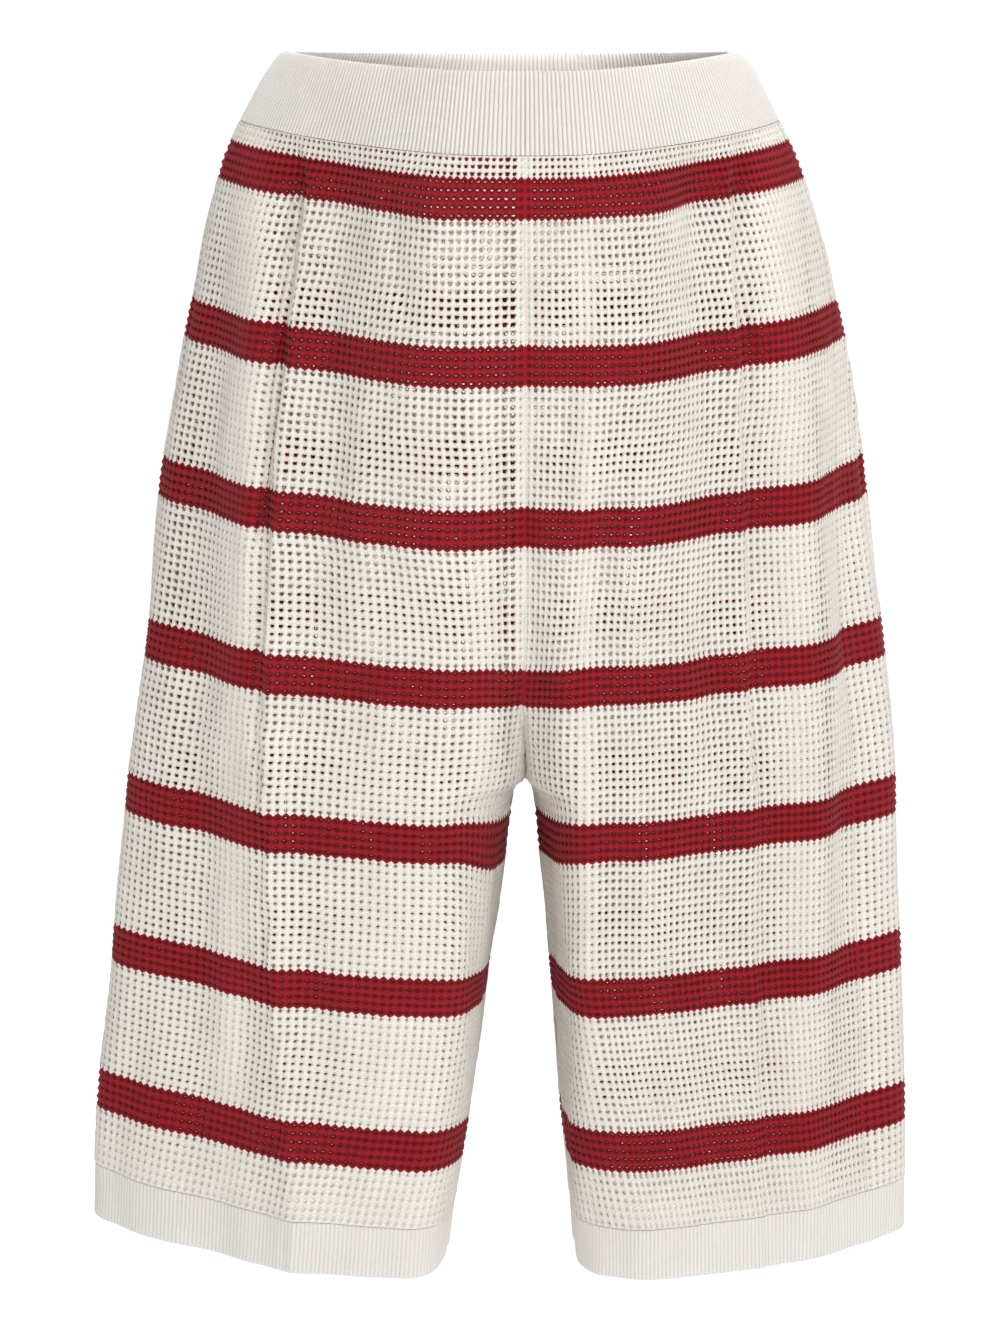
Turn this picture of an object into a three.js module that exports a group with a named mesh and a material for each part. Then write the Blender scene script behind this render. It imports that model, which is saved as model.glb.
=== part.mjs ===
// Knitted bermuda shorts, filled out and hollow, with a ribbed waistband and ribbed hem cuffs.
// X runs to the wearer's left, -Y to the front and +Z up. The origin is the middle of the waist opening.
// A place on the cloth is given by its depth, measured down the front from the top of the waistband,
// and by the way round one half of the garment, from the front's inner edge past the side to the back's.
import * as THREE from 'three';

// Driving dimensions, in millimetres
const BAND_BOTTOM = 40;
const CUFF_TOP = 590;
const HEM = 616;
const CROTCH = 370;
const CROTCH_Y = 5;
const SIDE_Y = 3;
const MESH_WALL = 2.0;
const RIB_WALL = 2.6;
const RIB_HEIGHT = 0.5;
const SEAM_GAP = 0.3;

// The front and back rises run straight down, then curve in to the crotch point
const FRONT_RISE_BEND = 262;
const BACK_RISE_BEND = 232;
const RISE_CURVE = 2.2;
const FRONT_HOLLOW = 5;
const BACK_HOLLOW = 6;
const HOLLOW_TOP = 60;
const HOLLOW_FULL = 130;

// The waist's rim falls away towards the back, and the fall fades out down the hip
const RIM_FALL = 0.115;
const RIM_FALL_END = 200;

// Folds start below the waistband, and their three named places are at these depths
const FOLD_START = 40;
const FOLD_FULL = 65;
const FOLD_TOP = 60;
const FOLD_MIDDLE = 300;
const FOLD_LOW = 600;
const PLEAT_EDGE = 1.5;

// Ribs, two outer points each, and the outer points that share one inner point
const BAND_RIBS = 312;
const CUFF_RIBS = 240;
const OUTER_PER_INNER = 6;

// Sampling of the half sections, and how many strips a panel has between its marks
const QUARTER_STEPS = 48;
const INNER_STEPS = 20;
const SECTION_POINTS = 130;
const EASING_PASSES = 10;
const STRIPS = { insideLeg: 5, toPleat: 4, toSide: 5, backToSide: 9 };
const PLEAT_OFFSETS = [-5, -1.2, 1.2, 5];
const BEND_STEP = 10;
const PANEL_DEPTHS = [BAND_BOTTOM + SEAM_GAP, 52, 71, 100, 132, 173, 214, 255, 297, 330, 350, 362,
  CROTCH, 382, 410, 443, 496, 549, CUFF_TOP - SEAM_GAP];

function table(columns, rows) {
  return rows.map(row => Object.fromEntries(columns.map((column, i) => [column, row[i]])));
}

// Half widths, front and back depths, and where across the front and back the cloth stands foremost
const LEVELS = table(
  ['depth', 'rightOut', 'leftOut', 'front', 'back', 'rightPeak', 'leftPeak', 'backPeak'], [
    [0, 121.0, 108.9, 92, 88, 22, 20, 30],
    [BAND_BOTTOM, 140.6, 126.0, 96, 94, 26, 24, 38],
    [71, 153.3, 138.8, 97, 98, 32, 28, 48],
    [132, 166.4, 156.4, 98, 104, 38, 32, 64],
    [214, 180.5, 170.5, 92, 106, 40, 32, 76],
    [297, 190.1, 180.7, 80, 98, 44, 34, 72],
    [CROTCH, 199.1, 188.5, 73, 85, 48, 36, 66],
    [443, 207.4, 191.6, 67, 77, 50, 36, 62],
    [496, 212.3, 194.4, 62, 73, 54, 42, 62],
    [549, 217.7, 195.8, 59, 70, 62, 52, 64],
    [HEM, 222.2, 196.7, 63, 68, 78, 66, 70],
  ]);

// Half gap between the thighs, from the middle plane to each inseam
const INSEAMS = table(['depth', 'right', 'left'], [
  [CROTCH, 0, 0],
  [380, 4.9, 4.8],
  [433, 11.5, 10.4],
  [486, 18.7, 14.6],
  [539, 26.9, 19.4],
  [593, 35.8, 24.1],
  [HEM, 39.5, 25.8],
]);

// How far the sides ride above the front at the same depth, because they slant
const SIDE_RISES = table(['depth', 'right', 'left'], [
  [0, 0, 0],
  [BAND_BOTTOM, 5.5, 5.5],
  [52, 7, 7],
  [133, 8.5, 8.5],
  [215, 9.5, 9.5],
  [300, 10, 10],
  [CUFF_TOP, 10.5, 9.5],
  [HEM, 13.5, 8],
]);

// How far the side seams lie round from the widest point, to the back or, below zero, to the front
const SIDE_SEAMS = table(['depth', 'right', 'left'], [
  [0, 4, -4],
  [134, 10, -12],
  [250, 12, -30],
  [HEM, 10, -30],
]);

// Roundness of the sections: 2 is an ellipse, less is flatter, more is squarer.
// The turn is the angle through which the cloth bends in towards the inner edge.
const FORMS = table(['depth', 'rightOuter', 'leftOuter', 'backOuter', 'rightInner', 'leftInner', 'turn'], [
  [0, 1.38, 1.38, 1.7, 2.0, 2.0, 25],
  [52, 1.32, 1.35, 1.8, 2.0, 2.0, 25],
  [134, 1.38, 1.42, 1.9, 2.0, 2.0, 25],
  [215, 1.42, 1.40, 1.9, 2.0, 2.0, 30],
  [297, 1.55, 1.42, 1.9, 2.0, 2.0, 50],
  [345, 1.60, 1.38, 1.9, 2.1, 2.0, 90],
  [378, 1.60, 1.35, 1.9, 2.3, 2.0, 90],
  [460, 1.50, 1.38, 1.9, 2.6, 2.1, 90],
  [541, 1.40, 1.42, 1.9, 3.2, 2.7, 90],
  [HEM, 1.45, 1.50, 1.9, 3.8, 3.2, 90],
]);

// Folds as soft ridges, or troughs where the height is below zero, and the pleats as sharp steps.
// x and height are given at the top, middle and low fold depths, and x is measured from the middle.
const FOLDS = table(
  ['side', 'face', 'kind', 'xTop', 'xMid', 'xLow', 'highTop', 'highMid', 'highLow', 'width'], [
    ['right', 'front', 'step', 110, 126, 118, 2.6, 2.2, 0.6, 14],
    ['right', 'front', 'ridge', 128, 132, 119, 2, 8, 8, 13],
    ['right', 'front', 'ridge', 150, 166, 165, -1, -8, -8, 15],
    ['right', 'front', 'ridge', 96, 100, 95, -12, -3, 0, 20],
    ['right', 'front', 'ridge', 40, 42, 50, 6, 2, 1, 16],
    ['left', 'front', 'step', 103, 112, 122, 2.4, 2.2, 0.6, 14],
    ['left', 'front', 'ridge', 90, 98, 98, -12, -5, -1, 15],
    ['left', 'front', 'ridge', 115, 140, 140, 2, 9, 2, 15],
    ['left', 'front', 'ridge', 168, 166, 168, 0, -5, -1, 13],
    ['left', 'front', 'ridge', 60, 62, 60, 4, 0, 1, 12],
    ['right', 'back', 'ridge', 58, 84, 92, -4, 3, 2, 22],
    ['right', 'back', 'ridge', 112, 138, 132, 4, -6, -3, 18],
    ['right', 'back', 'ridge', 138, 168, 170, -3, 4, 2, 15],
    ['left', 'back', 'ridge', 66, 76, 80, -5, 2, -2, 20],
    ['left', 'back', 'ridge', 100, 122, 116, 3, -5, 2, 17],
    ['left', 'back', 'ridge', 126, 152, 158, -2, 4, -3, 16],
  ]);

const COLOURS = { ribbed: 0xe7e2dc, mesh: 0xded6cb };
const SIDES = { right: -1, left: 1 };

// A smooth curve through one column of a table, read at a depth
function read(rows, column, depth) {
  const last = rows.length - 1;
  const slope = i => (rows[i + 1][column] - rows[i][column]) / (rows[i + 1].depth - rows[i].depth);
  const tangent = i => {
    if (i === 0) return slope(0);
    if (i === last) return slope(last - 1);
    const before = slope(i - 1);
    const after = slope(i);
    return before * after <= 0 ? 0 : (before + after) / 2;
  };
  let i = 0;
  while (i < last - 1 && depth > rows[i + 1].depth) i += 1;
  const span = rows[i + 1].depth - rows[i].depth;
  const t = THREE.MathUtils.clamp((depth - rows[i].depth) / span, 0, 1);
  const u = 1 - t;
  return rows[i][column] * (1 + 2 * t) * u * u + span * tangent(i) * t * u * u
    + rows[i + 1][column] * t * t * (3 - 2 * t) - span * tangent(i + 1) * t * t * u;
}

// A fold's value at a depth, on the parabola through its top, middle and low values
function alongFold(top, middle, low, depth) {
  const span = FOLD_LOW - FOLD_TOP;
  const k = (FOLD_MIDDLE - FOLD_TOP) / span;
  const t = THREE.MathUtils.clamp((depth - FOLD_TOP) / span, 0, 1);
  const bend = ((low - top) - (middle - top) / k) / (1 - k);
  return top + ((middle - top) / k - bend * k) * t + bend * t * t;
}

function foldHeight(side, face, depth, x) {
  const strength = THREE.MathUtils.clamp((depth - FOLD_START) / (FOLD_FULL - FOLD_START), 0, 1);
  let height = 0;
  for (const fold of FOLDS.filter(f => f.side === side && f.face === face)) {
    const q = x - alongFold(fold.xTop, fold.xMid, fold.xLow, depth);
    const swell = Math.exp(-((q / fold.width) ** 2));
    const profile = fold.kind === 'step' ? -swell * Math.tanh(q / PLEAT_EDGE) : swell;
    height += alongFold(fold.highTop, fold.highMid, fold.highLow, depth) * profile;
  }
  return height * strength;
}

// Where the front or back inner edge lies, from the waist down the rise and the inseam
function innerEdge(side, face, depth, reach) {
  if (depth >= CROTCH) return { x: read(INSEAMS, side, depth), y: CROTCH_Y };
  const bendStart = face === 'front' ? FRONT_RISE_BEND : BACK_RISE_BEND;
  const hollow = face === 'front' ? FRONT_HOLLOW : -BACK_HOLLOW;
  const start = reach + hollow * THREE.MathUtils.smoothstep(depth, HOLLOW_TOP, HOLLOW_FULL);
  const q = Math.max(0, (depth - bendStart) / (CROTCH - bendStart));
  const bend = 1 - (1 - q ** RISE_CURVE) ** (1 / RISE_CURVE);
  return { x: 0, y: THREE.MathUtils.lerp(start, CROTCH_Y, bend) };
}

function cosinePower(angle, power) {
  return Math.max(0, Math.cos(angle)) ** power;
}

// One face of a half section, from its inner edge past its foremost point to the widest point
function faceLine(side, face, depth) {
  const front = face === 'front';
  const out = read(LEVELS, `${side}Out`, depth);
  const peak = read(LEVELS, front ? `${side}Peak` : 'backPeak', depth);
  const reach = front ? -read(LEVELS, 'front', depth) : read(LEVELS, 'back', depth);
  const outer = 2 / read(FORMS, front ? `${side}Outer` : 'backOuter', depth);
  const inner = 2 / read(FORMS, `${side}Inner`, depth);
  const turn = THREE.MathUtils.degToRad(read(FORMS, 'turn', depth));
  const edge = innerEdge(side, face, depth, reach);
  const line = [];
  for (let i = INNER_STEPS; i > 0; i -= 1) {
    const angle = turn * i / INNER_STEPS;
    const across = (Math.sin(angle) / Math.sin(turn)) ** inner;
    const inward = (1 - cosinePower(angle, inner)) / (1 - cosinePower(turn, inner));
    line.push({
      x: THREE.MathUtils.lerp(peak, edge.x, across),
      y: THREE.MathUtils.lerp(reach, edge.y, inward),
    });
  }
  for (let i = 0; i <= QUARTER_STEPS; i += 1) {
    const angle = Math.PI / 2 * i / QUARTER_STEPS;
    line.push({
      x: THREE.MathUtils.lerp(peak, out, Math.sin(angle) ** outer),
      y: THREE.MathUtils.lerp(reach, SIDE_Y, 1 - cosinePower(angle, outer)),
    });
  }
  return line;
}

// The lengths along a line of points, from its start to each of them
function runningLengths(points) {
  const lengths = [0];
  for (let i = 1; i < points.length; i += 1) {
    const [from, to] = [points[i - 1], points[i]];
    lengths.push(lengths[i - 1] + Math.hypot(to.x - from.x, to.y - from.y));
  }
  return lengths;
}

// The place in a line at a length along it: the point before and the share of the way to the next
function locate(lengths, length) {
  let i = 0;
  while (i < lengths.length - 2 && length > lengths[i + 1]) i += 1;
  const share = (length - lengths[i]) / (lengths[i + 1] - lengths[i]);
  return [i, THREE.MathUtils.clamp(share, 0, 1)];
}

// The length along a line at which a coordinate first passes a value, from a point on
function passing(points, lengths, start, name, value) {
  let i = start;
  while (i < points.length - 2 && (points[i][name] - value) * (points[i + 1][name] - value) > 0) i += 1;
  const share = (value - points[i][name]) / (points[i + 1][name] - points[i][name]);
  return THREE.MathUtils.lerp(lengths[i], lengths[i + 1], THREE.MathUtils.clamp(share, 0, 1));
}

// Cloth turns no sharp corner, so a section is spaced evenly, eased and set back to its full width
function eased(line, out) {
  const lengths = runningLengths(line);
  let points = Array.from({ length: SECTION_POINTS }, (_, k) => {
    const [i, t] = locate(lengths, lengths.at(-1) * k / (SECTION_POINTS - 1));
    return {
      x: THREE.MathUtils.lerp(line[i].x, line[i + 1].x, t),
      y: THREE.MathUtils.lerp(line[i].y, line[i + 1].y, t),
    };
  });
  for (let pass = 0; pass < EASING_PASSES; pass += 1) {
    points = points.map((point, i) => {
      if (i === 0 || i === points.length - 1) return point;
      const [before, after] = [points[i - 1], points[i + 1]];
      return { x: (before.x + 2 * point.x + after.x) / 4, y: (before.y + 2 * point.y + after.y) / 4 };
    });
  }
  const reached = Math.max(...points.map(point => point.x));
  return points.map(point => ({ x: point.x * out / reached, y: point.y }));
}

// A half section: points with outward directions, moved out by the folds, and the marks round it
const sections = new Map();
function halfSection(side, depth) {
  const key = `${side} ${depth}`;
  if (sections.has(key)) return sections.get(key);
  const rough = [...faceLine(side, 'front', depth), ...faceLine(side, 'back', depth).reverse().slice(1)];
  const smooth = eased(rough, read(LEVELS, `${side}Out`, depth));
  const outermost = smooth.reduce((best, point, i) => (point.x > smooth[best].x ? i : best), 0);
  const points = smooth.map((point, i) => {
    const before = smooth[Math.max(0, i - 1)];
    const after = smooth[Math.min(smooth.length - 1, i + 1)];
    const length = Math.hypot(after.x - before.x, after.y - before.y);
    const nx = (after.y - before.y) / length;
    const ny = -(after.x - before.x) / length;
    const height = foldHeight(side, i <= outermost ? 'front' : 'back', depth, point.x);
    return { x: point.x + nx * height, y: point.y + ny * height, nx, ny };
  });
  const lengths = runningLengths(points);
  const pleat = FOLDS.find(f => f.side === side && f.kind === 'step');
  const peak = read(LEVELS, `${side}Peak`, depth);
  const widest = passing(smooth, lengths, smooth.findIndex(point => point.x > peak), 'y', SIDE_Y);
  const section = {
    points,
    lengths,
    total: lengths.at(-1),
    frontPeak: passing(smooth, lengths, 0, 'x', peak),
    pleat: passing(smooth, lengths, 0, 'x', alongFold(pleat.xTop, pleat.xMid, pleat.xLow, depth)),
    widest,
    seam: widest + read(SIDE_SEAMS, side, depth),
    backPeak: passing(smooth, lengths, outermost, 'x', read(LEVELS, 'backPeak', depth)),
  };
  sections.set(key, section);
  return section;
}

// A place on the cloth, moved out along the surface, at a given way round one half section
function place(side, depth, way, outward) {
  const { points, lengths } = halfSection(side, depth);
  const [i, t] = locate(lengths, way);
  const mix = name => THREE.MathUtils.lerp(points[i][name], points[i + 1][name], t);
  const [x, y] = [mix('x'), mix('y')];
  const share = x / read(LEVELS, `${side}Out`, depth);
  const fall = RIM_FALL * Math.max(0, 1 - depth / RIM_FALL_END) * Math.max(0, y);
  const z = -depth + read(SIDE_RISES, side, depth) * share * share - fall;
  return new THREE.Vector3(SIDES[side] * (x + mix('nx') * outward), y + mix('ny') * outward, z);
}

function spaced(from, to, strips) {
  return Array.from({ length: strips + 1 }, (_, i) => THREE.MathUtils.lerp(from, to, i / strips));
}

// The ways round at which a panel has its points: close pairs at the pleat, and a bend at the widest point
function panelWays(side, face, depth) {
  const { total, frontPeak, pleat, widest, seam, backPeak } = halfSection(side, depth);
  const half = SEAM_GAP / 2;
  const seamInBack = seam > widest;
  if (face === 'back') {
    const toWidest = seamInBack ? [] : [seam + half, (seam + widest) / 2, widest];
    const start = seamInBack ? seam + half : widest + BEND_STEP;
    return [
      ...toWidest,
      ...spaced(start, backPeak, STRIPS.backToSide),
      ...spaced(backPeak, total - half, STRIPS.insideLeg).slice(1),
    ];
  }
  const marks = PLEAT_OFFSETS.map(offset => pleat + offset);
  const toSeam = seamInBack ? [widest, seam - half] : [];
  const end = seamInBack ? widest - BEND_STEP : seam - half;
  return [
    ...spaced(half, frontPeak, STRIPS.insideLeg),
    ...spaced(frontPeak, marks[0], STRIPS.toPleat).slice(1),
    ...marks.slice(1, -1),
    ...spaced(marks.at(-1), end, STRIPS.toSide),
    ...toSeam,
  ];
}

// A closed solid from points and triangles, with its faces turned outward
function solid(points, triangles) {
  const volume = triangles.reduce((sum, [a, b, c]) =>
    sum + points[a].dot(new THREE.Vector3().crossVectors(points[b], points[c])), 0);
  const faces = volume < 0 ? triangles.map(([a, b, c]) => [a, c, b]) : triangles;
  const geometry = new THREE.BufferGeometry();
  geometry.setAttribute('position', new THREE.Float32BufferAttribute(points.flatMap(p => p.toArray()), 3));
  geometry.setIndex(faces.flat());
  geometry.computeVertexNormals();
  return geometry;
}

// An open sheet of cloth with a wall's thickness: two grids joined round their four edges
function panel(side, face) {
  const outer = [];
  const inner = [];
  for (const depth of PANEL_DEPTHS) {
    for (const way of panelWays(side, face, depth)) {
      outer.push(place(side, depth, way, 0));
      inner.push(place(side, depth, way, -MESH_WALL));
    }
  }
  const rows = PANEL_DEPTHS.length;
  const columns = outer.length / rows;
  const at = (row, column, layer) => layer * rows * columns + row * columns + column;
  const triangles = [];
  const quad = (a, b, c, d) => triangles.push([a, b, c], [a, c, d]);
  for (let row = 0; row < rows - 1; row += 1) {
    for (let column = 0; column < columns - 1; column += 1) {
      quad(at(row, column, 0), at(row, column + 1, 0), at(row + 1, column + 1, 0), at(row + 1, column, 0));
      quad(at(row, column, 1), at(row + 1, column, 1), at(row + 1, column + 1, 1), at(row, column + 1, 1));
    }
  }
  for (let row = 0; row < rows - 1; row += 1) {
    const end = columns - 1;
    quad(at(row, 0, 0), at(row + 1, 0, 0), at(row + 1, 0, 1), at(row, 0, 1));
    quad(at(row, end, 0), at(row, end, 1), at(row + 1, end, 1), at(row + 1, end, 0));
  }
  for (let column = 0; column < columns - 1; column += 1) {
    const end = rows - 1;
    quad(at(0, column, 0), at(0, column, 1), at(0, column + 1, 1), at(0, column + 1, 0));
    quad(at(end, column, 0), at(end, column + 1, 0), at(end, column + 1, 1), at(end, column, 1));
  }
  return solid([...outer, ...inner], triangles);
}

// A closed run of cloth: one leg, or both halves of the waist joined at the middle of front and back
function loopPlace(halves, depth, share, outward) {
  const totals = halves.map(side => halfSection(side, depth).total);
  const way = share * totals.reduce((sum, total) => sum + total, 0);
  if (way <= totals[0]) return place(halves[0], depth, way, outward);
  return place(halves[1], depth, totals[0] + totals[1] - way, outward);
}

// A ribbed tube between two depths: raised ribs outside and a plain wall inside
function ribbedTube(halves, top, bottom, ribs) {
  const outerCount = ribs * 2;
  const innerCount = outerCount / OUTER_PER_INNER;
  const points = [];
  for (const depth of [top, bottom]) {
    for (let i = 0; i < outerCount; i += 1) {
      points.push(loopPlace(halves, depth, i / outerCount, i % 2 === 0 ? RIB_HEIGHT : 0));
    }
  }
  for (const depth of [top, bottom]) {
    for (let i = 0; i < innerCount; i += 1) {
      points.push(loopPlace(halves, depth, i / innerCount, -RIB_WALL));
    }
  }
  const outer = (level, i) => level * outerCount + i % outerCount;
  const inner = (level, i) => 2 * outerCount + level * innerCount + i % innerCount;
  const nearest = i => Math.floor((i + OUTER_PER_INNER / 2) / OUTER_PER_INNER);
  const triangles = [];
  for (let i = 0; i < outerCount; i += 1) {
    const [near, next] = [nearest(i), nearest(i + 1)];
    triangles.push([outer(0, i), outer(1, i), outer(1, i + 1)]);
    triangles.push([outer(0, i), outer(1, i + 1), outer(0, i + 1)]);
    triangles.push([outer(0, i), outer(0, i + 1), inner(0, near)]);
    triangles.push([outer(1, i + 1), outer(1, i), inner(1, near)]);
    if (next !== near) {
      triangles.push([outer(0, i + 1), inner(0, next), inner(0, near)]);
      triangles.push([outer(1, i + 1), inner(1, near), inner(1, next)]);
    }
  }
  for (let i = 0; i < innerCount; i += 1) {
    triangles.push([inner(0, i), inner(0, i + 1), inner(1, i + 1)]);
    triangles.push([inner(0, i), inner(1, i + 1), inner(1, i)]);
  }
  return solid(points, triangles);
}

function clothMesh(name, geometry, colour) {
  const material = new THREE.MeshStandardMaterial({ color: colour, roughness: 0.9, metalness: 0 });
  const mesh = new THREE.Mesh(geometry, material);
  mesh.name = name;
  return mesh;
}

const group = new THREE.Group();
group.add(clothMesh('waistband', ribbedTube(['left', 'right'], 0, BAND_BOTTOM, BAND_RIBS), COLOURS.ribbed));
for (const side of Object.keys(SIDES)) {
  group.add(clothMesh(`panel_front_${side}`, panel(side, 'front'), COLOURS.mesh));
  group.add(clothMesh(`panel_back_${side}`, panel(side, 'back'), COLOURS.mesh));
  group.add(clothMesh(`cuff_${side}`, ribbedTube([side], CUFF_TOP, HEM, CUFF_RIBS), COLOURS.ribbed));
}

export default group;
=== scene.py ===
# Looks of the knitted bermuda shorts: open mesh knit with red stripes, ribbed waistband and ribbed cuffs.
# A place on the cloth is its depth, measured down the front from the top of the waistband, and its way
# round one half of the garment, from the front's inner edge past the side to the back's. Both are in
# millimetres, as in the part's source, and Blender's own lengths are metres.
from functools import partial
import math

import bpy
import numpy as np
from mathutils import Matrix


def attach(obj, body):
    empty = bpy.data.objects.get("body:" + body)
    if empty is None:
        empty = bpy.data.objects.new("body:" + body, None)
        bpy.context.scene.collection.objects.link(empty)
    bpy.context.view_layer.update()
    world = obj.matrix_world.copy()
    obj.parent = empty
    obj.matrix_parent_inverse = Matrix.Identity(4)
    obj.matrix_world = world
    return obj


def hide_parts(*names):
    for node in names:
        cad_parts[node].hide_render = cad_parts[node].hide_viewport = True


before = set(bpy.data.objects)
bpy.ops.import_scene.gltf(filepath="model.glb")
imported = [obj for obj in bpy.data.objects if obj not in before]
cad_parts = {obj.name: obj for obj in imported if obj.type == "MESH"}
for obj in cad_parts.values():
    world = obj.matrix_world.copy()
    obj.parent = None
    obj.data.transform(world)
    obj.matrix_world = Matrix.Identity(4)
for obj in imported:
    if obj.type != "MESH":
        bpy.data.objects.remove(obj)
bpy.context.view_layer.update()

MM = 0.001

# Camera, solved from the stripes of the photograph
EYE = (-0.012, -2.727, 0.286)
DOWNWARD_TILT = 12.35
SENSOR = 36.0
LENS = 149.05

# Driving dimensions, in millimetres
BAND_BOTTOM = 40
CUFF_TOP = 590
HEM = 616
CROTCH = 364
CROTCH_Y = 5
SIDE_Y = 3
SEAM_GAP = 0.3
FOLDED_WALL = 2.6

# Depths at which the middle seams bend in to the crotch, and how far the cloth is hollow along them
FRONT_RISE_BEND = 262
BACK_RISE_BEND = 232
RISE_CURVE = 2.2
FRONT_HOLLOW = 5
BACK_HOLLOW = 6
HOLLOW_TOP = 60
HOLLOW_FULL = 130

# The rim's fall towards the back, and its rounded corners at the sides
RIM_FALL = 0.1
RIM_FALL_END = 200
CORNER_ROUNDING = 3.0
CORNER_START = 0.94
CORNER_END_DEPTH = 14

# Depths over which the folds come in, the three at which their places and heights are given, and how far
# a pleat's edge is rounded
FOLD_START = 40
FOLD_FULL = 65
FOLD_TOP = 60
FOLD_MIDDLE = 300
FOLD_LOW = 600
PLEAT_EDGE = 0.9

# Sampling of the sections, of the grids that hold each half, and of the panels when their cut is measured
QUARTER_STEPS = 48
INNER_STEPS = 20
SECTION_POINTS = 130
EASING_PASSES = 10
GRID_STEP = 1.0
GRID_MARGIN = 3
CUT_LINES = 200
CUT_POINTS = 60

# Seeds of the random draws
RIPPLE_SEED = 7
PANEL_SEED = 20
BAND_SEED = 5
CUFF_SEED = 8

# Knit rows down the panels, the red ones among them, and the depths of the first and the last stripe
KNIT_ROWS = 135
FIRST_RED_ROW = 3
LAST_STRIPE_ROW = 123
FIRST_STRIPE = 50.5
LAST_STRIPE = 539
STRIPE_PERIOD = 20
STRIPE_ROWS = 5

# Knit columns: their pitch beside the inseams, the depths over which the guide line changes from a share of
# the torso to the leg's own peak, and the narrowest cell that is made
LEG_PITCH = 4.05
GUIDE_TOP = 230
GUIDE_LOW = 297
INNER_PITCH_END = 380
NARROWEST_CELL = 0.5

# Ribs: how many, the height of the points across one, the share of it that each piece shows, which also
# sets how much shade is painted into their grooves, how far they stray as a share of those points' spacing,
# and the length of a course
BAND_RIBS = 312
CUFF_RIBS = 240
RIB_PROFILE = (-0.55, 0.3, 0.5, 0.5, 0.3)
BAND_RELIEF = 0.95
CUFF_RELIEF = 0.4
RIB_WANDER = 0.12
RIB_COURSE = 1.7

# How much the ribs' height fades in places, and how many ribs or rings their unevenness takes to change
BAND_FADING = 0.1
CUFF_FADING = 0.6
WANDER_RIBS = 6
FADING_RIBS = 9
FADING_RINGS = 9

# Steps down each side of a folded ribbed piece and round its fold
BAND_STEPS = 9
CUFF_STEPS = 7
FOLD_STEPS = 5

# Seam strips under the panels' edges: places across the strip and how deep they lie
STRIP_ACROSS = (-2.0, -1.1, -0.35, 0.35, 1.1, 2.0)
STRIP_DEEP = (-1.3, -0.8, -0.2, -0.2, -0.8, -1.3)
STRIP_STEPS_PER_ROW = 2
# The strips' painted shade, as they lie sunk under the panels' edges
STRIP_SHADE = 0.8
STRIP_WAVE = 0.12

# Floor, in metres, and its shader's own values
FLOOR = -0.95
FLOOR_REACH = 60.0
FLOOR_SURFACE = {
    "Base Color": (0.85, 0.85, 0.85, 1),
    "Roughness": 1.0,
    "Emission Color": (1, 1, 1, 1),
    "Emission Strength": 0.56,
}

# Brightness of the studio's air on its dark side, in front to the wearer's right, and opposite it,
# and how high over the horizon it is white all round
FRONT_SKY = 0.12
BACK_SKY = 0.88
SKY_RANGE = (-1.0, 0.6)
SKY_LEAN = 0.5
WHITE_UP_TO = 0.04
WHITE_ENDS = 0.08

# Yarn colours, and the dark colours that painted shade mixes them towards in the knit's grooves and holes,
# which the yarn's random tone also leans to
CREAM = (0.80, 0.758, 0.705)
CREAM_DARK = (0.17, 0.135, 0.105)
RIB_CREAM = (0.735, 0.702, 0.67)
RIB_CREAM_DARK = (0.38, 0.352, 0.32)
RED = (0.33, 0.012, 0.02)
RED_DARK = (0.06, 0.001, 0.002)

# The yarn's shader values, and the scale and detail of its fibres and of its mottling
YARN_SURFACE = {
    "Roughness": 0.92,
    "Specular IOR Level": 0.12,
    "Sheen Weight": 0.05,
    "Sheen Roughness": 0.6,
}
FIBRES = (1500.0, 3.0)
MOTTLING = (38.0, 2.0)

# The slanting legs of yarn: their waves over half a column, and how far the fibres shift them, in radians
YARN_LEAN = 0.9
HALF_COLUMN = 0.5
FIBRE_PHASE = 1.2

# Ranges of what the yarn's look is made from, each followed by the range of shade or bump that it gives
# The painted shade: the points' shade attribute darkens the yarn in the knit's hollows, down to the dark
# colour
RELIEF_TO_SHADE = (0, 1, 0, 0.88)
FIBRES_TO_SHADE = (0.25, 0.75, -0.1, 0.14)
MOTTLING_TO_SHADE = (0.3, 0.7, -0.03, 0.04)
LEGS_TO_SHADE = (-1, 1, -0.07, 0.07)
FIBRES_TO_BUMP = (0.2, 0.8, 0, 0.4)
LEGS_TO_BUMP = (-1, 1, 0, 0.6)
BUMP_STRENGTH = 0.6


def table(columns, rows):
    return [dict(zip(columns, row)) for row in rows]


# Half widths, how far the cloth reaches to the front and back, and where across it reaches furthest
LEVELS = table(
    ("depth", "rightOut", "leftOut", "front", "back", "rightPeak", "leftPeak", "backPeak"), [
        (0, 121.0, 108.9, 92, 88, 22, 20, 30),
        (BAND_BOTTOM, 140.6, 126.0, 96, 94, 26, 24, 38),
        (71, 153.3, 138.8, 97, 98, 32, 28, 48),
        (132, 166.4, 156.4, 98, 104, 38, 32, 64),
        (214, 180.5, 170.5, 92, 106, 40, 32, 76),
        (297, 190.1, 180.7, 80, 98, 44, 34, 72),
        (CROTCH, 199.1, 188.5, 73, 85, 48, 36, 66),
        (443, 207.4, 191.6, 67, 77, 50, 36, 62),
        (496, 212.3, 194.4, 62, 73, 54, 42, 62),
        (549, 217.7, 195.8, 59, 70, 62, 52, 64),
        (HEM, 222.2, 196.7, 63, 68, 78, 66, 70),
    ])

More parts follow.
